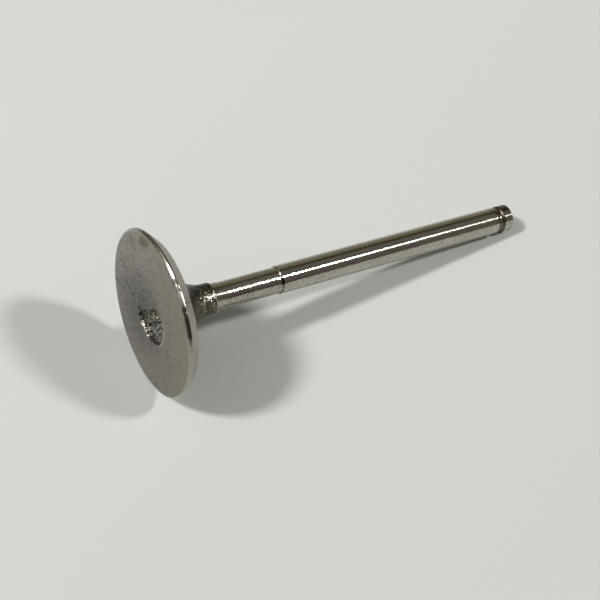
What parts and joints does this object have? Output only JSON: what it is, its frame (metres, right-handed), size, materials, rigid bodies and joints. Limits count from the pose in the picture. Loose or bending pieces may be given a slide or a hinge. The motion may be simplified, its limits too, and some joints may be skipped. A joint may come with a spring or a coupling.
{
  "type": "engine valve",
  "caption": "Poppet valve for a piston engine: flat round head with a bevelled seat, slim stem with a keeper groove near its tip.",
  "frame": {"origin": "centre of the combustion face, which the valve stands on", "axes": "+Z along the stem from the head to the tip; the deep part of the recess in the face lies towards +Y"},
  "size_m": [0.0406, 0.0406, 0.105],
  "materials": {
    "valve_steel": "ground and turned valve steel with a dull, slightly tarnished head face"
  },
  "bodies": {
    "root": {"valve": "valve_steel"}
  },
  "joints": []
}
